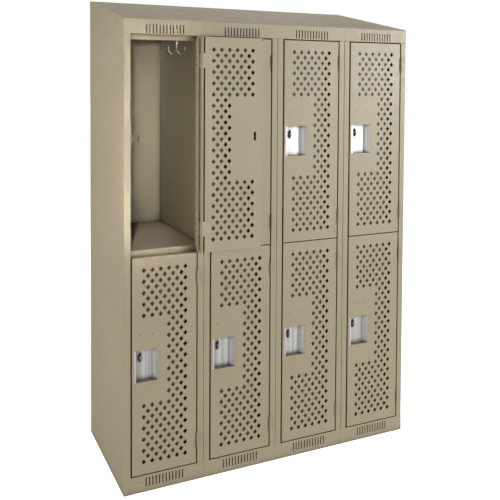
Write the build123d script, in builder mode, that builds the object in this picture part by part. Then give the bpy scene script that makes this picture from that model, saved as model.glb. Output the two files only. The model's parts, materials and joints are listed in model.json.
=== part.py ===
"""Two-tier ventilated steel locker cabinet: a bank of four columns under one sloping hood.

Modelled in millimetres with the frame's front face at y = 0, the back at y = DEPTH, the floor at
z = 0 and x = 0 on the centre line. Every node is moved by SHIFT_Y on export, so that the origin is
the centre of the assembly's footprint.
"""

import os
from math import atan, cos, hypot, sin, tan

from build123d import *

# ---------------------------------------------------------------- driving dimensions (mm)
COLUMNS = 4
PITCH = 304.8  # one column, 12 in
DEPTH = 533.4  # 21 in
H_BACK = 1828.8  # 72 in, over the hood's back edge
H_FRONT = 1718.0  # the hood's front fold
WIDTH = COLUMNS * PITCH

T_FRAME = 1.5  # frame channels
T_SKIN = 1.2  # door skins, hood and carcass sheet
SEAM = 0.3  # gap between neighbouring frames

BASE_TOP = 61.5  # underside of the lower door opening
HEAD_BOTTOM = 1662.5  # top of the upper door opening
STILE = 24.5  # face width of one stile
JAMB = 28.0  # depth of the frame channel
STOP = 7.0  # width of the latch-side stop lip
STOP_HEAD = 18.0  # height of the head and base stop lips
END_RETURN = 50.8  # frame return that shows on the cabinet's sides
MID_RAIL = 40.0

GAP_LATCH, GAP_HINGE, GAP_ENDS, GAP_MID = 5.0, 4.0, 3.5, 3.0
DOOR_W = PITCH - 2 * STILE - GAP_LATCH - GAP_HINGE
DOOR_H = (HEAD_BOTTOM - BASE_TOP - 2 * GAP_ENDS - GAP_MID) / 2
DOOR_T = 24.0
DOOR_X = STILE + GAP_LATCH  # door's latch edge, from its column's left side
TIER_Z = (BASE_TOP + GAP_ENDS, BASE_TOP + GAP_ENDS + DOOR_H + GAP_MID)
Z_MID = TIER_Z[0] + DOOR_H + GAP_MID / 2

# hinges: the axis is fixed to the frame, just proud of the face
PIN_DX, PIN_Y = 4.5, -4.0  # from the door's hinge edge; from the face
BARREL_R, PIN_R = 4.0, 2.0
HINGE_L, HINGE_END = 56.0, 88.0  # length; centre to the door's end
KNUCKLES, KNUCKLE_GAP = 5, 0.4
LEAF_LAP = 35.0
RIVET_HEAD = 1.5

# perforation: staggered diamonds
HOLE_W, HOLE_H = 17.0, 19.5
HOLE_DX, HOLE_DZ = 31.75, 41.28
HOLE_COLS, HOLE_ROWS = 6, 18
SOLID_ROWS = (5, 11)  # rows cut short beside the pull

# recessed pull
PULL_X0, PULL_X1 = 8.0, 99.0
PULL_Z1 = DOOR_H - 337.0
PULL_Z0 = PULL_Z1 - 117.0
PULL_DEPTH = 20.5
SLOT_X, SLOT_W, SLOT_H = 36.0, 11.0, 36.0
SLOT_Z = PULL_Z1 - 32.7
TAB_X = 33.0  # padlock tab, from the door's latch edge

# vents
VENTS, VENT_DX, VENT_W = 12, 12.7, 4.2
HEAD_VENT = (1667.0, 1698.5)
BASE_VENT = (20.0, 53.0)

SKIRT_Z = 1680.5  # seam between the side panel and the hood's end
HOOK_X, HOOK_Y = 242.0, 130.0  # coat hook in its compartment
HOOK_DROP = 100.0  # from the ceiling to the lowest point of the prongs' centre line
CEILING_Z = 1700.0  # underside of the top pan, above the vents in the header
ANCHOR_R = 4.5
ANCHOR_Z = (150.0, 1600.0)

OPEN_DOOR = (0, 1)  # column, tier of the door that rests folded right back
PROUD = 2 * -PIN_Y + DOOR_T + T_SKIN + RIVET_HEAD  # how far the folded door stands out
SHIFT_Y = -(DEPTH - PROUD) / 2

SLOPE = atan((H_BACK - H_FRONT) / DEPTH)


def column_x(c):
    return -WIDTH / 2 + c * PITCH


def hinge_z(tier):
    return [TIER_Z[tier] + HINGE_END, TIER_Z[tier] + DOOR_H - HINGE_END]


# ---------------------------------------------------------------- helpers
def block(x0, x1, y0, y1, z0, z1, mode=Mode.ADD):
    """A box from its limits, added to the active part."""
    with Locations(((x0 + x1) / 2, (y0 + y1) / 2, (z0 + z1) / 2)):
        Box(abs(x1 - x0), abs(y1 - y0), abs(z1 - z0), mode=mode)


def side_of(points, radii, off):
    """One side of a bent sheet: its straight runs and bend arcs, offset from the centre line."""
    runs = []
    for (ax, ay), (bx, by) in zip(points, points[1:]):
        n = hypot(bx - ax, by - ay)
        runs.append(((bx - ax) / n, (by - ay) / n))
    normal = [(-dy, dx) for dx, dy in runs]
    start = (points[0][0] + normal[0][0] * off, points[0][1] + normal[0][1] * off)
    out, at = [], start
    for i in range(1, len(points) - 1):
        (ax, ay), (bx, by) = runs[i - 1], runs[i]
        turn = 1 if ax * by - ay * bx > 0 else -1
        k = 1 + normal[i - 1][0] * normal[i][0] + normal[i - 1][1] * normal[i][1]
        corner = (
            points[i][0] + (normal[i - 1][0] + normal[i][0]) / k * off,
            points[i][1] + (normal[i - 1][1] + normal[i][1]) / k * off,
        )
        r = radii[i - 1] - turn * off
        if r < 0.05:
            out.append(("line", at, corner))
            at = corner
            continue
        half = hypot(ax - bx, ay - by) / hypot(ax + bx, ay + by)  # tan of half the turn
        p = (corner[0] - ax * r * half, corner[1] - ay * r * half)
        q = (corner[0] + bx * r * half, corner[1] + by * r * half)
        centre = (p[0] - ay * turn * r, p[1] + ax * turn * r)
        mx, my = corner[0] - centre[0], corner[1] - centre[1]
        n = hypot(mx, my)
        mid = (centre[0] + mx / n * r, centre[1] + my / n * r)
        out += [("line", at, p), ("arc", p, mid, q)]
        at = q
    end = (points[-1][0] + normal[-1][0] * off, points[-1][1] + normal[-1][1] * off)
    out.append(("line", at, end))
    return out, start, end


def bent(points, t, r):
    """The outline of a sheet of thickness t bent along a centre line, drawn in the active line."""
    radii = [r] * (len(points) - 2) if isinstance(r, (int, float)) else list(r)
    left, l0, l1 = side_of(points, radii, t / 2)
    right, r0, r1 = side_of(points, radii, -t / 2)
    for piece in left + right:
        if piece[0] == "line":
            Line(piece[1], piece[2])
        else:
            ThreePointArc(piece[1], piece[2], piece[3])
    Line(l0, r0)
    Line(l1, r1)


def rod(centre, direction, r, length, mode=Mode.ADD):
    """A cylinder that starts at centre and runs along a direction, added to the active part."""
    with Locations(Plane(origin=centre, z_dir=direction)):
        Cylinder(r, length, align=(Align.CENTER, Align.CENTER, Align.MIN), mode=mode)


def dome(centre, direction, r, h):
    """A low round head standing on centre, added to the active part."""
    big = (r * r + h * h) / (2 * h)
    plane = Plane(origin=centre, z_dir=direction)
    # local x is the radius and local y runs against the head's direction
    mid = (r * 0.55, -((big * big - (r * 0.55) ** 2) ** 0.5 - (big - h)))
    with BuildSketch(Plane(origin=plane.origin, x_dir=plane.x_dir, z_dir=plane.y_dir)) as half:
        with BuildLine():
            Line((0, 0), (r, 0))
            ThreePointArc((r, 0), mid, (0, -h))
            Line((0, -h), (0, 0))
        make_face()
    revolve(half.sketch, axis=Axis(plane.origin, plane.z_dir), revolution_arc=360)


def diamond_centres():
    """Centres of the perforation in door coordinates: x from the latch edge, z from the foot."""
    x0 = (DOOR_W - (HOLE_COLS - 1) * HOLE_DX) / 2
    z0 = (DOOR_H + (HOLE_ROWS - 1) * HOLE_DZ) / 2
    first, last = SOLID_ROWS
    out = []
    for row in range(HOLE_ROWS):
        for col in range(HOLE_COLS):
            if first <= row <= last and col < HOLE_COLS // 2:
                continue
            out.append((x0 + col * HOLE_DX, z0 - row * HOLE_DZ))
    for row in range(HOLE_ROWS - 1):
        for col in range(HOLE_COLS - 1):
            if first - 1 <= row <= last and col < HOLE_COLS // 2:
                continue
            out.append((x0 + (col + 0.5) * HOLE_DX, z0 - (row + 0.5) * HOLE_DZ))
    return out


def diamonds():
    """The perforation, cut from the active sketch on an XZ plane."""
    with Locations(*diamond_centres()):
        Polygon(
            (-HOLE_W / 2, 0), (0, -HOLE_H / 2), (HOLE_W / 2, 0), (0, HOLE_H / 2),
            align=None, mode=Mode.SUBTRACT,
        )


def front_plane(y):
    """An XZ plane at y. A negative extrusion runs backwards, into the cabinet."""
    return Plane.XZ.offset(-y)


# ---------------------------------------------------------------- one door, in its own coordinates
with BuildPart() as skin:
    # folded pan: face with returns on all four sides
    with BuildSketch(front_plane(0)):
        with Locations((DOOR_W / 2, DOOR_H / 2)):
            Rectangle(DOOR_W, DOOR_H)
    extrude(amount=-(DOOR_T - T_SKIN))
    fillet(skin.faces().sort_by(Axis.Y)[0].edges(), 1.6)
    block(T_SKIN, DOOR_W - T_SKIN, T_SKIN, DOOR_T, T_SKIN, DOOR_H - T_SKIN, mode=Mode.SUBTRACT)
    # the hinge-side return is deeper and ends in a narrow lip
    block(DOOR_W - T_SKIN, DOOR_W, 6, DOOR_T, 0.6, DOOR_H - 0.6)
    block(DOOR_W - T_SKIN - 2.5, DOOR_W - T_SKIN / 2, DOOR_T - T_SKIN, DOOR_T, 0.6, DOOR_H - 0.6)
    # perforation, number-plate holes and the opening for the pull
    with BuildSketch(front_plane(0)):
        with Locations(*diamond_centres()):
            Polygon((-HOLE_W / 2, 0), (0, -HOLE_H / 2), (HOLE_W / 2, 0), (0, HOLE_H / 2), align=None)
        with Locations((PULL_X0 + 22, PULL_Z1 + 55), (PULL_X1 - 22, PULL_Z1 + 55)):
            Circle(2)
        with Locations(((PULL_X0 + PULL_X1) / 2, (PULL_Z0 + PULL_Z1) / 2)):
            Rectangle(PULL_X1 - PULL_X0, PULL_Z1 - PULL_Z0)
    extrude(amount=-3, mode=Mode.SUBTRACT)
    # flanges that close the pull's recess above and below
    block(PULL_X0, PULL_X1, 0.4, PULL_DEPTH + 1, PULL_Z1, PULL_Z1 + T_SKIN)
    block(PULL_X0, PULL_X1, 0.4, PULL_DEPTH + 1, PULL_Z0 - T_SKIN, PULL_Z0)

RIVET_X = DOOR_W - 24.0
RIVETS = [(RIVET_X, z + dz) for z in (HINGE_END, DOOR_H - HINGE_END) for dz in (-14, 14)]

with BuildPart() as liner:
    with BuildSketch(front_plane(DOOR_T - T_SKIN)):
        with Locations(((DOOR_W - 9.7) / 2, DOOR_H / 2)):
            Rectangle(DOOR_W - 9.7, DOOR_H)
        diamonds()
        with Locations((TAB_X + 1, SLOT_Z)):
            SlotOverall(SLOT_H - 2, 10, rotation=90, mode=Mode.SUBTRACT)
        with Locations((5, 6), (5, DOOR_H - 6)):
            Circle(2.6, mode=Mode.SUBTRACT)
        with Locations(*RIVETS):
            Circle(2, mode=Mode.SUBTRACT)
    extrude(amount=-T_SKIN)
    # stiffening flange beside the hinge-side slot
    block(DOOR_W - 9.7 - T_SKIN, DOOR_W - 9.7, 14, DOOR_T - T_SKIN / 2, T_SKIN, DOOR_H - T_SKIN)

with BuildPart() as pull:
    with BuildSketch(Plane.XY.offset(PULL_Z0)):
        with BuildLine():
            bent(
                [(PULL_X0, 0.7), (15.4, 0.7), (17.6, PULL_DEPTH + 0.5), (77.5, PULL_DEPTH + 0.5), (PULL_X1, 1.0)],
                1.0, [1.2, 3.0, 9.0],
            )
        make_face()
    extrude(amount=PULL_Z1 - PULL_Z0)
    with BuildSketch(front_plane(PULL_DEPTH - 2)):
        with Locations((SLOT_X, SLOT_Z)):
            SlotOverall(SLOT_H, SLOT_W, rotation=90)
    extrude(amount=-5, mode=Mode.SUBTRACT)

KNUCKLE_L = (HINGE_L - (KNUCKLES - 1) * KNUCKLE_GAP) / KNUCKLES


def knuckle_z(k):
    return -HINGE_L / 2 + k * (KNUCKLE_L + KNUCKLE_GAP)


AXIS_X = DOOR_W + PIN_DX  # hinge axis in door coordinates

with BuildPart() as leaf:
    # door half of one hinge, centred on z = 0
    with BuildSketch(Plane.XY.offset(-HINGE_L / 2)):
        with BuildLine():
            bent(
                [(DOOR_W + T_SKIN / 2, PIN_Y + 3), (DOOR_W + T_SKIN / 2, DOOR_T + T_SKIN / 2), (DOOR_W - LEAF_LAP, DOOR_T + T_SKIN / 2)],
                T_SKIN, T_SKIN / 2,
            )
        make_face()
    extrude(amount=HINGE_L)
    for k in (1, 3):
        z = knuckle_z(k)
        block(DOOR_W, DOOR_W + T_SKIN, PIN_Y, PIN_Y + 3.2, z, z + KNUCKLE_L)
        rod((AXIS_X, PIN_Y, z), (0, 0, 1), BARREL_R, KNUCKLE_L)
    rod((AXIS_X, PIN_Y, -HINGE_L / 2 - 1), (0, 0, 1), PIN_R + 0.05, HINGE_L + 2, mode=Mode.SUBTRACT)
    with Locations(*[Plane(origin=(RIVET_X, DOOR_T - 1, dz), z_dir=(0, 1, 0)) for dz in (-14, 14)]):
        Cylinder(2, 6, mode=Mode.SUBTRACT)

with BuildPart() as rivet:
    # one rivet through a leaf and the liner, its head on the leaf, centred on x = z = 0
    dome((0, DOOR_T + T_SKIN, 0), (0, 1, 0), 3.6, RIVET_HEAD)
    rod((0, DOOR_T - T_SKIN - 1.2, 0), (0, 1, 0), 2.0, T_SKIN * 2 + 1.2)
    rod((0, DOOR_T - T_SKIN - 1.2, 0), (0, 1, 0), 3.2, 1.2)

# ---------------------------------------------------------------- frames
with BuildPart() as stiles:
    for c in range(COLUMNS):
        x0, x1 = column_x(c), column_x(c + 1)
        h = T_FRAME / 2
        first, last = c == 0, c == COLUMNS - 1
        with BuildSketch(Plane.XY.offset(BASE_TOP)):
            xo = x0 + h + (0 if first else SEAM / 2)
            with BuildLine():
                bent(
                    [(xo, END_RETURN if first else JAMB), (xo, h), (x0 + STILE - h, h), (x0 + STILE - h, JAMB - h), (x0 + STILE + STOP, JAMB - h)],
                    T_FRAME, 1.5,
                )
            make_face()
        extrude(amount=HEAD_BOTTOM - BASE_TOP)
        with BuildSketch(Plane.XY.offset(BASE_TOP)):
            xo = x1 - h - (0 if last else SEAM / 2)
            with BuildLine():
                bent(
                    [(xo, END_RETURN if last else JAMB), (xo, h), (x1 - STILE + h, h), (x1 - STILE + h, JAMB)],
                    T_FRAME, 1.5,
                )
            make_face()
        extrude(amount=HEAD_BOTTOM - BASE_TOP)
        for tier in (0, 1):
            for z in hinge_z(tier):
                for dz in (-14, 14):
                    rod((x1 - STILE - 1, 15, z + dz), (1, 0, 0), 2.5, 4, mode=Mode.SUBTRACT)


def rail_ends(c):
    """A frame's own width, and which of its ends is a cabinet side."""
    x0, x1 = column_x(c), column_x(c + 1)
    return (
        x0 + (0 if c == 0 else SEAM / 2),
        x1 - (0 if c == COLUMNS - 1 else SEAM / 2),
    )


def vents(c, low, high):
    """One bank of vertical slots in the active part's face."""
    with BuildSketch(front_plane(-1)) as slots:
        with Locations((column_x(c) + PITCH / 2, (low + high) / 2)):
            with GridLocations(VENT_DX, 1, VENTS, 1):
                Rectangle(VENT_W, high - low)
    extrude(slots.sketch, amount=-4, mode=Mode.SUBTRACT)


def side_return(c, z0, z1):
    """The frame's return on a cabinet side, with its corner rounded."""
    for last, x in ((False, -WIDTH / 2), (True, WIDTH / 2)):
        if c == (COLUMNS - 1 if last else 0):
            inward = -1 if last else 1
            block(x, x + inward * T_FRAME, 0, END_RETURN, z0, z1)


head_list, base_list = [], []
for c in range(COLUMNS):
    xa, xb = rail_ends(c)
    x0, x1 = column_x(c), column_x(c + 1)
    h = T_FRAME / 2
    off = T_SKIN + h
    face_z = H_FRONT - off / cos(SLOPE) + h * tan(SLOPE)
    with BuildPart() as head:
        with BuildSketch(Plane.YZ.offset(xa)):
            with BuildLine():
                bent(
                    [(22, face_z + (22 - h) * tan(SLOPE)), (h, face_z), (h, HEAD_BOTTOM + h), (JAMB, HEAD_BOTTOM + h)],
                    T_FRAME, [1.0, 1.5],
                )
            make_face()
        extrude(amount=xb - xa)
        block(x0 + STILE + STOP, x1 - STILE, JAMB - T_FRAME, JAMB, HEAD_BOTTOM - STOP_HEAD, HEAD_BOTTOM + T_FRAME)
        side_return(c, HEAD_BOTTOM, SKIRT_Z - SEAM)
        vents(c, *HEAD_VENT)
    head_list.append(head.part)
    with BuildPart() as base:
        with BuildSketch(Plane.YZ.offset(xa)):
            with BuildLine():
                bent([(34, h), (h, h), (h, BASE_TOP - h), (JAMB, BASE_TOP - h)], T_FRAME, [1.2, 1.5])
            make_face()
        extrude(amount=xb - xa)
        block(x0 + STILE + STOP, x1 - STILE, JAMB - T_FRAME, JAMB, BASE_TOP - T_FRAME, BASE_TOP + STOP_HEAD)
        side_return(c, 0, BASE_TOP)
        vents(c, *BASE_VENT)
    base_list.append(base.part)

with BuildPart() as mid_rails:
    for c in range(COLUMNS):
        x0, x1 = column_x(c), column_x(c + 1)
        h = T_FRAME / 2
        y = JAMB - h
        with BuildSketch(Plane.YZ.offset(x0 + STILE + STOP)):
            with BuildLine():
                bent(
                    [(y + 18, Z_MID + MID_RAIL / 2 - h), (y, Z_MID + MID_RAIL / 2 - h), (y, Z_MID - MID_RAIL / 2 + h), (y + 18, Z_MID - MID_RAIL / 2 + h)],
                    T_FRAME, 1.3,
                )
            make_face()
        extrude(amount=PITCH - 2 * STILE - STOP)

# ---------------------------------------------------------------- carcass
Y_BACK = DEPTH - T_SKIN
with BuildPart() as side_panels:
    for s in (-1, 1):
        x = s * WIDTH / 2
        block(x, x - s * T_FRAME, END_RETURN + SEAM, Y_BACK, 0, SKIRT_Z - SEAM)
        block(x - s * T_FRAME, x - s * 2 * T_FRAME, 38, 76, 0, SKIRT_Z - SEAM)
        block(x - s * T_FRAME / 2, x - s * 22, 80, Y_BACK - 4, 0, T_FRAME)

with BuildPart() as partitions:
    for c in range(1, COLUMNS):
        x = column_x(c)
        block(x - T_SKIN / 2, x + T_SKIN / 2, JAMB, Y_BACK, BASE_TOP, CEILING_Z + T_SKIN)

with BuildPart() as backs:
    for c in range(COLUMNS):
        xa, xb = rail_ends(c)
        block(xa, xb, Y_BACK, DEPTH, 0, H_FRONT - 2.2)
        if c in (0, COLUMNS - 1):
            for z in ANCHOR_Z:
                rod((column_x(c) + PITCH / 2, Y_BACK - 1, z), (0, 1, 0), ANCHOR_R, 4, mode=Mode.SUBTRACT)


def inner_x(c):
    """The clear width between the sheets on either side of a column."""
    x0, x1 = column_x(c), column_x(c + 1)
    return (
        x0 + (2 * T_FRAME + 0.2 if c == 0 else T_SKIN / 2),
        x1 - (2 * T_FRAME + 0.2 if c == COLUMNS - 1 else T_SKIN / 2),
    )


def hook_holes(c, z):
    for dx in (-10, 10):
        rod((column_x(c) + HOOK_X + dx, HOOK_Y, z), (0, 0, 1), 1.6, T_SKIN, mode=Mode.SUBTRACT)


Z_FLOOR = BASE_TOP + STOP_HEAD - T_SKIN
Z_SHELF = Z_MID + MID_RAIL / 2
Z_TOP = CEILING_Z

with BuildPart() as bottom_pans:
    for c in range(COLUMNS):
        xa, xb = inner_x(c)
        with BuildSketch(Plane.YZ.offset(xa)):
            h = T_SKIN / 2
            with BuildLine():
                bent([(JAMB + h, Z_FLOOR - 24), (JAMB + h, Z_FLOOR + h), (Y_BACK, Z_FLOOR + h)], T_SKIN, 1.2)
            make_face()
        extrude(amount=xb - xa)

with BuildPart() as shelves:
    for c in range(COLUMNS):
        xa, xb = inner_x(c)
        block(xa, xb, JAMB, Y_BACK, Z_SHELF, Z_SHELF + T_SKIN)
        block(column_x(c) + STILE + STOP, column_x(c + 1) - STILE, JAMB - T_FRAME, JAMB, Z_SHELF, Z_SHELF + T_SKIN)
        hook_holes(c, Z_SHELF)

with BuildPart() as top_pans:
    for c in range(COLUMNS):
        xa, xb = inner_x(c)
        block(xa, xb, JAMB, Y_BACK, Z_TOP, Z_TOP + T_SKIN)
        hook_holes(c, Z_TOP)

with BuildPart() as hood:
    h = T_SKIN / 2
    y0, z0 = h * sin(SLOPE), H_FRONT - h * cos(SLOPE)
    yb = DEPTH - h
    with BuildSketch(Plane.YZ.offset(-WIDTH / 2)):
        with BuildLine():
            bent([(y0, z0), (yb, z0 + (yb - y0) * tan(SLOPE)), (yb, H_FRONT - 2)], T_SKIN, 1.4)
        make_face()
    extrude(amount=WIDTH)

with BuildPart() as hood_ends:
    for s in (-1, 1):
        under = H_FRONT - T_SKIN / cos(SLOPE)
        with BuildSketch(Plane.YZ.offset(s * WIDTH / 2)):
            y0 = T_FRAME + 0.1
            with BuildLine():
                Polyline(
                    (y0, SKIRT_Z), (Y_BACK, SKIRT_Z), (Y_BACK, under + Y_BACK * tan(SLOPE)),
                    (24, under + 24 * tan(SLOPE)), (24, under - 0.6), (y0, under - 2.6), close=True,
                )
            make_face()
        extrude(amount=-s * T_FRAME)
        block(s * (WIDTH / 2 - T_FRAME), s * (WIDTH / 2 - 2 * T_FRAME), 90, Y_BACK - 8, SKIRT_Z - 16, SKIRT_Z + 14)

# ---------------------------------------------------------------- hardware
with BuildPart() as hook:
    # double-prong ceiling hook hanging from z = 0
    with BuildSketch(Plane.XY):
        RectangleRounded(32, 15, 4)
        with Locations((-10, 0), (10, 0)):
            Circle(1.6, mode=Mode.SUBTRACT)
    extrude(amount=-1.6)
    low = -HOOK_DROP
    rod((0, 0, -1.5), (0, 0, -1), 3.0, HOOK_DROP - 21.5)
    with BuildLine(Plane.XZ) as prong_line:
        Spline((0, low + 23), (7, low + 6), (19, low), (30, low + 10), (33, low + 24), tangents=[(0.15, -1), (0, 1)])
    with BuildSketch(Plane(origin=prong_line.line @ 0, z_dir=prong_line.line % 0)):
        Circle(2.7)
    sweep(path=prong_line.line)
    with Locations((33, 0, low + 24.5)):
        Sphere(3.7)
    mirror(about=Plane.YZ)

with BuildPart() as hook_screw:
    rod((0, 0, -1.6), (0, 0, 1), 1.6, 1.6 + T_SKIN + 1.5)
    dome((0, 0, -1.6), (0, 0, -1), 3.0, 1.3)

with BuildPart() as hasp:
    # staple bent from plate: one leg on the frame's stop, the other through the door
    x0, t = 25.0, 2.5
    with BuildSketch(Plane.XY.offset(-11.5)):
        with BuildLine():
            bent([(x0, JAMB + t / 2), (DOOR_X + TAB_X, JAMB + t / 2), (DOOR_X + TAB_X, 4.5)], t, t)
        make_face()
    extrude(amount=23)
    tip = [e for e in hasp.edges().filter_by(Axis.X) if e.center().Y < 5]
    fillet(tip, 9)
    rod((DOOR_X + TAB_X - 5, 12.6, 0), (1, 0, 0), 4.5, 10, mode=Mode.SUBTRACT)

with BuildPart() as frame_leaf:
    # frame half of one hinge, in door coordinates, centred on z = 0
    jamb_x = DOOR_W + GAP_HINGE
    block(jamb_x - 1.5, jamb_x, PIN_Y + 4.3, 26, -HINGE_L / 2, HINGE_L / 2)
    for k in (0, 2, 4):
        z = knuckle_z(k)
        block(jamb_x - 1.5, jamb_x, PIN_Y + 2, PIN_Y + 4.5, z, z + KNUCKLE_L)
        rod((AXIS_X, PIN_Y, z), (0, 0, 1), BARREL_R, KNUCKLE_L)
    rod((AXIS_X, PIN_Y, -HINGE_L / 2 - 1), (0, 0, 1), PIN_R + 0.02, HINGE_L + 2, mode=Mode.SUBTRACT)
    for dz in (-14, 14):
        rod((jamb_x - 2, 15, dz), (1, 0, 0), 2.5, 3, mode=Mode.SUBTRACT)

with BuildPart() as pin:
    rod((AXIS_X, PIN_Y, -HINGE_L / 2), (0, 0, 1), PIN_R, HINGE_L)
    dome((AXIS_X, PIN_Y, HINGE_L / 2), (0, 0, 1), 3.2, 1.2)

with BuildPart() as hinge_screw:
    rod((jamb_x - 1.5, 15, 0), (1, 0, 0), 2.5, 6)
    dome((jamb_x - 1.5, 15, 0), (-1, 0, 0), 4.2, 0.6)

SIDE_RIVETS = [(y, z) for y in (42, 526) for z in (282, 511, 740, 969, 1198, 1427)] + [
    (266, 1693), (266, 1650), (266, 1633), (266, 797), (266, 777),
    (465, 1690), (465, 841), (122, 850), (68, 1703), (42, 1699),
]
with BuildPart() as side_rivets:
    for s in (-1, 1):
        for y, z in SIDE_RIVETS:
            dome((s * WIDTH / 2, y, z), (s, 0, 0), 2.6, 0.9)


# ---------------------------------------------------------------- placing and export
def at(part, *spots):
    """Copies of one piece, each at its own location, as one node of separate solids."""
    return Compound(children=[Part(part.moved(s).wrapped) for s in spots])


def door_location(c, tier):
    """Where a door's own coordinates sit. The open door is turned half a turn about its hinge."""
    closed = Location((column_x(c) + DOOR_X, 0, TIER_Z[tier]))
    if (c, tier) == OPEN_DOOR:
        return closed * Location((2 * AXIS_X, 2 * PIN_Y, 0), (0, 0, 180))
    return closed


def save(shape, label):
    node = shape.moved(Location((0, SHIFT_Y, 0)))
    node.label = label
    export_step(node, "parts/" + label + ".step")


os.makedirs("parts", exist_ok=True)

cells = [(c, tier) for c in range(COLUMNS) for tier in (0, 1)]
hinge_spots = [Location((column_x(c) + DOOR_X, 0, z)) for c, tier in cells for z in hinge_z(tier)]
ceilings = [Location((column_x(c) + HOOK_X, HOOK_Y, z)) for c in range(COLUMNS) for z in (Z_SHELF, Z_TOP)]

save(stiles.part, "frame_stiles")
save(Compound(children=[Part(p.wrapped) for p in head_list]), "frame_headers")
save(Compound(children=[Part(p.wrapped) for p in base_list]), "frame_base_rails")
save(mid_rails.part, "frame_mid_rails")
save(side_panels.part, "side_panels")
save(partitions.part, "partition_panels")
save(backs.part, "back_panels")
save(bottom_pans.part, "bottom_pans")
save(shelves.part, "tier_shelves")
save(top_pans.part, "top_pans")
save(hood.part, "hood_sheet")
save(hood_ends.part, "hood_ends")
save(at(hook.part, *ceilings), "coat_hooks")
save(at(hook_screw.part, *[s * Location((dx, 0, 0)) for s in ceilings for dx in (-10, 10)]), "coat_hook_screws")
save(at(hasp.part, *[Location((column_x(c), 0, TIER_Z[tier] + SLOT_Z)) for c, tier in cells]), "padlock_hasps")
save(at(frame_leaf.part, *hinge_spots), "hinge_frame_leaves")
save(at(pin.part, *hinge_spots), "hinge_pins")
save(at(hinge_screw.part, *[s * Location((0, 0, dz)) for s in hinge_spots for dz in (-14, 14)]), "hinge_screws")
save(side_rivets.part, "side_rivets")

for c, tier in cells:
    name = "door_" + str(c + 1) + ("_upper" if tier else "_lower")
    spot = door_location(c, tier)
    save(skin.part.moved(spot), name + "_skin")
    save(liner.part.moved(spot), name + "_liner")
    save(pull.part.moved(spot), name + "_pull")
    save(at(leaf.part, *[spot * Location((0, 0, z)) for z in (HINGE_END, DOOR_H - HINGE_END)]), name + "_hinge_leaves")
    save(at(rivet.part, *[spot * Location((x, 0, z)) for x, z in RIVETS]), name + "_rivets")
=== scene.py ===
import json
import math

import bpy
from mathutils import Matrix, Vector


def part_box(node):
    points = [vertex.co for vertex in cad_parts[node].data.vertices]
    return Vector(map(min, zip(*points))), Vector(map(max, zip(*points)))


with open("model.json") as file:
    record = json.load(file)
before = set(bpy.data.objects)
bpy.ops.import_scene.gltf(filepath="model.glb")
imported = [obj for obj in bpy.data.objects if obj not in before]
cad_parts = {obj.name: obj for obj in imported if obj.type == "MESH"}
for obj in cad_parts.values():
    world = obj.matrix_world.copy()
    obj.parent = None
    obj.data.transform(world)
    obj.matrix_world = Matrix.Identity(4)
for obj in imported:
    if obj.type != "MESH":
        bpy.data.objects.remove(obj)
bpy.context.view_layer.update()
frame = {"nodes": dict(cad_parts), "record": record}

NODES = frame["nodes"]
FRONT_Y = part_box("frame_stiles")[0].y  # the frame's front face
LEFT_X = -0.6096
UNIT = 0.3048  # one column


# ---------------------------------------------------------------- shader helpers
def new_material(name):
    m = bpy.data.materials.new(name)
    m.use_nodes = True
    nt = m.node_tree
    nt.nodes.clear()
    out = nt.nodes.new("ShaderNodeOutputMaterial")
    bsdf = nt.nodes.new("ShaderNodeBsdfPrincipled")
    nt.links.new(bsdf.outputs["BSDF"], out.inputs["Surface"])
    return m, nt, bsdf


def node(nt, kind, **values):
    n = nt.nodes.new(kind)
    for key, value in values.items():
        setattr(n, key, value)
    return n


def put(n, **values):
    for key, value in values.items():
        n.inputs[key.replace("_", " ")].default_value = value
    return n


def math_node(nt, op, a, b=None, c=None, clamp=False):
    n = nt.nodes.new("ShaderNodeMath")
    n.operation = op
    n.use_clamp = clamp
    for i, v in enumerate((a, b, c)):
        if v is None:
            continue
        if isinstance(v, (int, float)):
            n.inputs[i].default_value = v
        else:
            nt.links.new(v, n.inputs[i])
    return n.outputs[0]


def noise(nt, vector, scale, detail=3.0, rough=0.55):
    n = nt.nodes.new("ShaderNodeTexNoise")
    n.inputs["Scale"].default_value = scale
    n.inputs["Detail"].default_value = detail
    n.inputs["Roughness"].default_value = rough
    nt.links.new(vector, n.inputs["Vector"])
    return n.outputs["Fac"]


def stretched(nt, vector, x, y, z):
    n = nt.nodes.new("ShaderNodeMapping")
    n.inputs["Scale"].default_value = (x, y, z)
    nt.links.new(vector, n.inputs["Vector"])
    return n.outputs["Vector"]


def span(nt, value, a, b, c, d, clamp=True):
    n = nt.nodes.new("ShaderNodeMapRange")
    n.clamp = clamp
    nt.links.new(value, n.inputs["Value"])
    n.inputs["From Min"].default_value = a
    n.inputs["From Max"].default_value = b
    n.inputs["To Min"].default_value = c
    n.inputs["To Max"].default_value = d
    return n.outputs["Result"]


def mix(nt, fac, a, b, blend="MIX"):
    n = nt.nodes.new("ShaderNodeMix")
    n.data_type = "RGBA"
    n.blend_type = blend
    for name, v in (("Factor", fac), ("A", a), ("B", b)):
        sockets = [s for s in n.inputs if s.name == name and s.enabled]
        s = sockets[0] if name != "Factor" else n.inputs[0]
        if name != "Factor":
            s = [s for s in n.inputs if s.name == name and s.type == "RGBA"][0]
        if isinstance(v, (int, float)):
            s.default_value = v
        elif isinstance(v, tuple):
            s.default_value = v
        else:
            nt.links.new(v, s)
    return [s for s in n.outputs if s.type == "RGBA"][0]


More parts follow.
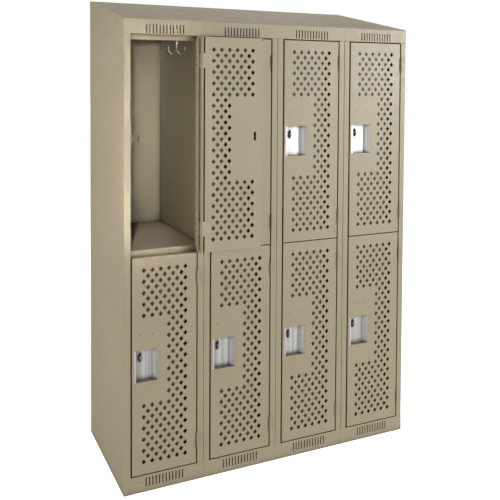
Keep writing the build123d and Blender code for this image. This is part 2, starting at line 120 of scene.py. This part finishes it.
def powder_coat(name, tint, rough=0.42, dust=0.5, peel=0.35):
    """Satin powder coat: orange peel, faint cloudiness, painted shade in the corners and deep gaps, and scuffs low
    down.
    """
    m, nt, bsdf = new_material(name)
    co = node(nt, "ShaderNodeTexCoord").outputs["Object"]
    geo = node(nt, "ShaderNodeNewGeometry")
    xyz = node(nt, "ShaderNodeSeparateXYZ")
    nt.links.new(co, xyz.inputs[0])
    cloud = noise(nt, co, 2.3, 4.0)
    streak = noise(nt, stretched(nt, co, 9.0, 9.0, 1.1), 2.0, 4.0)
    grain = noise(nt, co, 420.0, 2.0)
    base = mix(nt, span(nt, cloud, 0.3, 0.7, 0.0, 1.0), tuple(c * 0.965 for c in tint[:3]) + (1,), tuple(min(1, c * 1.03) for c in tint[:3]) + (1,))
    base = mix(nt, span(nt, streak, 0.45, 0.75, 0.0, 0.10), base, (tint[0] * 0.80, tint[1] * 0.78, tint[2] * 0.74, 1))
    base = mix(nt, span(nt, grain, 0.35, 0.65, 0.0, 0.10), base, (tint[0] * 1.12, tint[1] * 1.12, tint[2] * 1.13, 1))
    # scuffs and shoe marks near the floor
    low = span(nt, xyz.outputs["Z"], 0.0, 0.22, 1.0, 0.0)
    marks = noise(nt, stretched(nt, co, 7.0, 7.0, 26.0), 3.0, 6.0, 0.7)
    scuff = math_node(nt, "MULTIPLY", math_node(nt, "MULTIPLY", low, span(nt, marks, 0.56, 0.70, 0.0, 1.0)), 0.30)
    base = mix(nt, scuff, base, (tint[0] * 0.55, tint[1] * 0.52, tint[2] * 0.48, 1))
    # dust lies on what faces up
    up = node(nt, "ShaderNodeSeparateXYZ")
    nt.links.new(geo.outputs["Normal"], up.inputs[0])
    dusty = math_node(nt, "MULTIPLY", span(nt, up.outputs["Z"], 0.55, 1.0, 0.0, 1.0), span(nt, noise(nt, co, 14.0, 5.0), 0.35, 0.7, 0.2, 1.0))
    base = mix(nt, math_node(nt, "MULTIPLY", dusty, 0.22 * dust), base, (0.62, 0.60, 0.55, 1))
    # painted shade where sheets meet: ambient occlusion darkens corners and joints
    ao = node(nt, "ShaderNodeAmbientOcclusion")
    ao.samples = 6
    put(ao, Distance=0.014)
    corner_shade = span(nt, ao.outputs["AO"], 0.20, 0.95, 0.48, 0.0)
    base = mix(nt, corner_shade, base, (tint[0] * 0.38, tint[1] * 0.34, tint[2] * 0.28, 1))
    # painted shade: near black by ambient occlusion deep in the folded doors and the gaps round them, where little
    # light gets back out
    deep = node(nt, "ShaderNodeAmbientOcclusion")
    deep.samples = 6
    put(deep, Distance=0.06)
    base = mix(nt, span(nt, deep.outputs["AO"], 0.25, 0.58, 0.94, 0.0), base, (0.018, 0.015, 0.010, 1))
    nt.links.new(base, bsdf.inputs["Base Color"])
    r = span(nt, noise(nt, co, 36.0, 4.0), 0.3, 0.7, rough - 0.06, rough + 0.07)
    r = math_node(nt, "ADD", r, math_node(nt, "MULTIPLY", dusty, 0.22), clamp=True)
    nt.links.new(r, bsdf.inputs["Roughness"])
    put(bsdf, IOR=1.5)
    bsdf.inputs["Specular IOR Level"].default_value = 0.42
    bump = node(nt, "ShaderNodeBump")
    put(bump, Strength=peel, Distance=0.00022)
    nt.links.new(noise(nt, co, 560.0, 2.0), bump.inputs["Height"])
    wave = node(nt, "ShaderNodeBump")
    put(wave, Strength=0.22, Distance=0.0016)
    nt.links.new(noise(nt, stretched(nt, co, 1.0, 1.0, 0.55), 5.0, 2.0), wave.inputs["Height"])
    nt.links.new(wave.outputs["Normal"], bump.inputs["Normal"])
    nt.links.new(bump.outputs["Normal"], bsdf.inputs["Normal"])
    return m


def brushed(name, tint, rough=0.54):
    """Stainless sheet, brushed lengthways, with finger smears."""
    m, nt, bsdf = new_material(name)
    co = node(nt, "ShaderNodeTexCoord").outputs["Object"]
    lines = noise(nt, stretched(nt, co, 900.0, 900.0, 9.0), 1.0, 3.0, 0.7)
    broad = noise(nt, stretched(nt, co, 95.0, 95.0, 1.5), 1.0, 3.0)
    smear = noise(nt, co, 34.0, 4.0)
    base = mix(nt, span(nt, lines, 0.3, 0.7, 0.0, 1.0), tuple(c * 0.78 for c in tint) + (1,), tint + (1,))
    base = mix(nt, span(nt, broad, 0.42, 0.62, 0.42, 0.0), base, (tint[0] * 0.38, tint[1] * 0.38, tint[2] * 0.39, 1))
    base = mix(nt, span(nt, smear, 0.45, 0.75, 0.0, 0.07), base, (tint[0] * 0.82, tint[1] * 0.81, tint[2] * 0.79, 1))
    # painted shade: ambient occlusion darkens the bends and corners of the sheet
    ao = node(nt, "ShaderNodeAmbientOcclusion")
    ao.samples = 6
    put(ao, Distance=0.022)
    base = mix(nt, span(nt, ao.outputs["AO"], 0.45, 0.90, 0.88, 0.0), base, (0.10, 0.10, 0.10, 1))
    nt.links.new(base, bsdf.inputs["Base Color"])
    put(bsdf, Metallic=1.0)
    r = math_node(nt, "ADD", span(nt, lines, 0.3, 0.7, rough - 0.05, rough + 0.07), span(nt, smear, 0.4, 0.8, 0.0, 0.02))
    nt.links.new(r, bsdf.inputs["Roughness"])
    bsdf.inputs["Anisotropic"].default_value = 0.55
    bump = node(nt, "ShaderNodeBump")
    put(bump, Strength=0.25, Distance=0.00012)
    nt.links.new(math_node(nt, "ADD", lines, math_node(nt, "MULTIPLY", broad, 1.5)), bump.inputs["Height"])
    nt.links.new(bump.outputs["Normal"], bsdf.inputs["Normal"])
    return m


def metal(name, tint, rough, spots=60.0, wear=(0.12, 0.11, 0.10)):
    """Plated or blackened small hardware, a little uneven."""
    m, nt, bsdf = new_material(name)
    co = node(nt, "ShaderNodeTexCoord").outputs["Object"]
    cloud = noise(nt, co, spots, 4.0)
    fine = noise(nt, co, spots * 9, 2.0)
    base = mix(nt, span(nt, cloud, 0.4, 0.75, 0.0, 0.35), tint + (1,), wear + (1,))
    nt.links.new(base, bsdf.inputs["Base Color"])
    put(bsdf, Metallic=1.0)
    nt.links.new(span(nt, cloud, 0.3, 0.7, rough - 0.06, rough + 0.1), bsdf.inputs["Roughness"])
    bump = node(nt, "ShaderNodeBump")
    put(bump, Strength=0.2, Distance=0.0001)
    nt.links.new(fine, bump.inputs["Height"])
    nt.links.new(bump.outputs["Normal"], bsdf.inputs["Normal"])
    return m


TAN = (0.385, 0.335, 0.235)
M = {
    "tan_paint": powder_coat("tan_paint", TAN, dust=0.12),
    "door_paint": powder_coat("door_paint", TAN, rough=0.40, dust=0.1),
    "hinge_paint": powder_coat("hinge_paint", (0.40, 0.35, 0.25), rough=0.36, dust=0.1, peel=0.2),
    "stainless": brushed("stainless", (0.86, 0.86, 0.87)),
    "zinc": metal("zinc", (0.72, 0.72, 0.72), 0.22),
    "dark_fastener": metal("dark_fastener", (0.07, 0.06, 0.05), 0.42),
}

slots = {p["node"]: p["material_slot"] for p in frame["record"]["subparts"]}
for name, obj in NODES.items():
    mat = M[slots[name]]
    obj.data.materials.clear()
    obj.data.materials.append(mat)

# ---------------------------------------------------------------- floor, sky and lights
bpy.ops.mesh.primitive_plane_add(size=160, location=(0, 0, -0.0006))
floor = bpy.context.object
floor.name = "floor"
fm, nt, bsdf = new_material("pale_floor")
co = node(nt, "ShaderNodeTexCoord").outputs["Object"]
tone = mix(nt, span(nt, noise(nt, co, 3.0, 3.0), 0.3, 0.7, 0.0, 1.0), (0.74, 0.72, 0.68, 1), (0.78, 0.76, 0.72, 1))
nt.links.new(tone, bsdf.inputs["Base Color"])
put(bsdf, Roughness=0.9)
bsdf.inputs["Specular IOR Level"].default_value = 0.0
# the paper is lit a little from behind, as a studio sweep is, and throws less of that back
seen_floor = node(nt, "ShaderNodeLightPath").outputs["Is Camera Ray"]
bsdf.inputs["Emission Color"].default_value = (1, 1, 1, 1)
spot = node(nt, "ShaderNodeSeparateXYZ")
nt.links.new(co, spot.inputs[0])
beside = math_node(nt, "GREATER_THAN", math_node(nt, "ABSOLUTE", spot.outputs["X"], 0.0), 0.604)
before = math_node(nt, "GREATER_THAN", math_node(nt, "ABSOLUTE", math_node(nt, "SUBTRACT", spot.outputs["Y"], 0.0173), 0.0), 0.262)
clear = math_node(nt, "MAXIMUM", beside, before)  # no glow under the cabinet
nt.links.new(math_node(nt, "MULTIPLY", seen_floor, clear), bsdf.inputs["Emission Strength"])
floor.data.materials.append(fm)

world = bpy.data.worlds.new("studio")
bpy.context.scene.world = world
world.use_nodes = True
wn = world.node_tree
wn.nodes.clear()
wout = wn.nodes.new("ShaderNodeOutputWorld")
soft = wn.nodes.new("ShaderNodeBackground")
seen = wn.nodes.new("ShaderNodeBackground")
ray = wn.nodes.new("ShaderNodeLightPath")
both = wn.nodes.new("ShaderNodeMixShader")
soft.inputs["Color"].default_value = (1.0, 0.985, 0.955, 1)
sky = node(wn, "ShaderNodeSeparateXYZ")
wn.links.new(node(wn, "ShaderNodeTexCoord").outputs["Generated"], sky.inputs[0])
wn.links.new(span(wn, sky.outputs["Z"], 0.0, 0.9, 0.18, 0.08), soft.inputs["Strength"])  # dimmer overhead
seen.inputs["Color"].default_value = (1, 1, 1, 1)
seen.inputs["Strength"].default_value = 1.0
wn.links.new(ray.outputs["Is Camera Ray"], both.inputs[0])
wn.links.new(soft.outputs[0], both.inputs[1])
wn.links.new(seen.outputs[0], both.inputs[2])
wn.links.new(both.outputs[0], wout.inputs["Surface"])


def area(name, direction, distance, size, watts, colour=(1, 1, 1), target=(0, 0, 0.9)):
    """An area light that shines from a direction (x, y, z) at the target."""
    d = Vector(direction).normalized()
    light = bpy.data.lights.new(name, "AREA")
    light.shape = "RECTANGLE"
    light.size, light.size_y = size
    light.energy = watts
    light.color = colour
    o = bpy.data.objects.new(name, light)
    bpy.context.scene.collection.objects.link(o)
    o.location = Vector(target) + d * distance
    o.rotation_mode = "QUATERNION"
    o.rotation_quaternion = d.to_track_quat("Z", "Y")
    o.visible_camera = False
    return o


WARM = (1.0, 0.985, 0.96)
def bearing(deg, rise):
    return (math.sin(math.radians(deg)), -math.cos(math.radians(deg)), rise)


area("key", bearing(44, 0.14), 10.0, (1.1, 1.1), 575, WARM)
area("card_low", bearing(30, 0.0), 5.0, (1.0, 0.8), 18, WARM, (0, 0, 0.5))
area("fill_left", (-1.0, -0.12, 0.16), 5.0, (2.2, 2.4), 118, WARM)
area("top", (0.45, 0.0, 1.0), 4.0, (2.0, 2.0), 62, WARM)
area("back", (0.3, 1.0, 0.5), 5.0, (3.0, 2.5), 20)
area("card_left", bearing(-60, 0.0), 5.0, (3.0, 3.0), 32, WARM)
area("card_right", bearing(24, 0.0), 5.0, (1.4, 3.0), 13, WARM)
# narrow softboxes that look into the open compartment
grid = area("grid", bearing(-17, 0.0), 4.5, (0.25, 0.7), 0.68, WARM, (-0.44, 0.25, 1.30))
grid.data.spread = math.radians(9)
grid = area("grid_side", bearing(-24, 0.0), 4.5, (0.06, 0.7), 0.075, WARM, (-0.33, 0.12, 1.32))
grid.data.spread = math.radians(4.5)
grid = area("grid_floor", bearing(-20, 0.5), 4.5, (0.12, 0.12), 0.11, WARM, (-0.44, 0.0, 0.885))
grid.data.spread = math.radians(4.5)

# ---------------------------------------------------------------- camera
F_PX, CX, CY = 711.40, 250.0, 110.0
YAW, PITCH, ROLL = math.radians(25.132), math.radians(-2.049), math.radians(0.332)
EYE = Vector((-2.1705 * UNIT + LEFT_X, -8.0645 * UNIT + FRONT_Y, 4.8715 * UNIT))
fwd = Vector((math.sin(YAW), math.cos(YAW), 0))
right = Vector((math.cos(YAW), -math.sin(YAW), 0))
up = Vector((0, 0, 1))
f2 = fwd * math.cos(PITCH) + up * math.sin(PITCH)
u2 = up * math.cos(PITCH) - fwd * math.sin(PITCH)
r3 = right * math.cos(ROLL) + u2 * math.sin(ROLL)
u3 = u2 * math.cos(ROLL) - right * math.sin(ROLL)
cam = bpy.data.cameras.new("photo_camera")
cam_ob = bpy.data.objects.new("photo_camera", cam)
bpy.context.scene.collection.objects.link(cam_ob)
rows = Matrix(((r3.x, u3.x, -f2.x), (r3.y, u3.y, -f2.y), (r3.z, u3.z, -f2.z)))
cam_ob.matrix_world = Matrix.Translation(EYE) @ rows.to_4x4()
cam.sensor_fit = "VERTICAL"
cam.sensor_height = 36.0
cam.sensor_width = 36.0 * 0.48  # only the height sets this camera's view
cam.lens = F_PX / 500 * 36.0
cam.shift_x = (250 - CX) / 500
cam.shift_y = (CY - 250) / 500
cam.clip_start, cam.clip_end = 0.05, 200
bpy.context.scene.camera = cam_ob
bpy.context.scene.view_settings.view_transform = "Standard"
bpy.context.scene.view_settings.look = "None"
bpy.context.scene.view_settings.exposure = 0.0
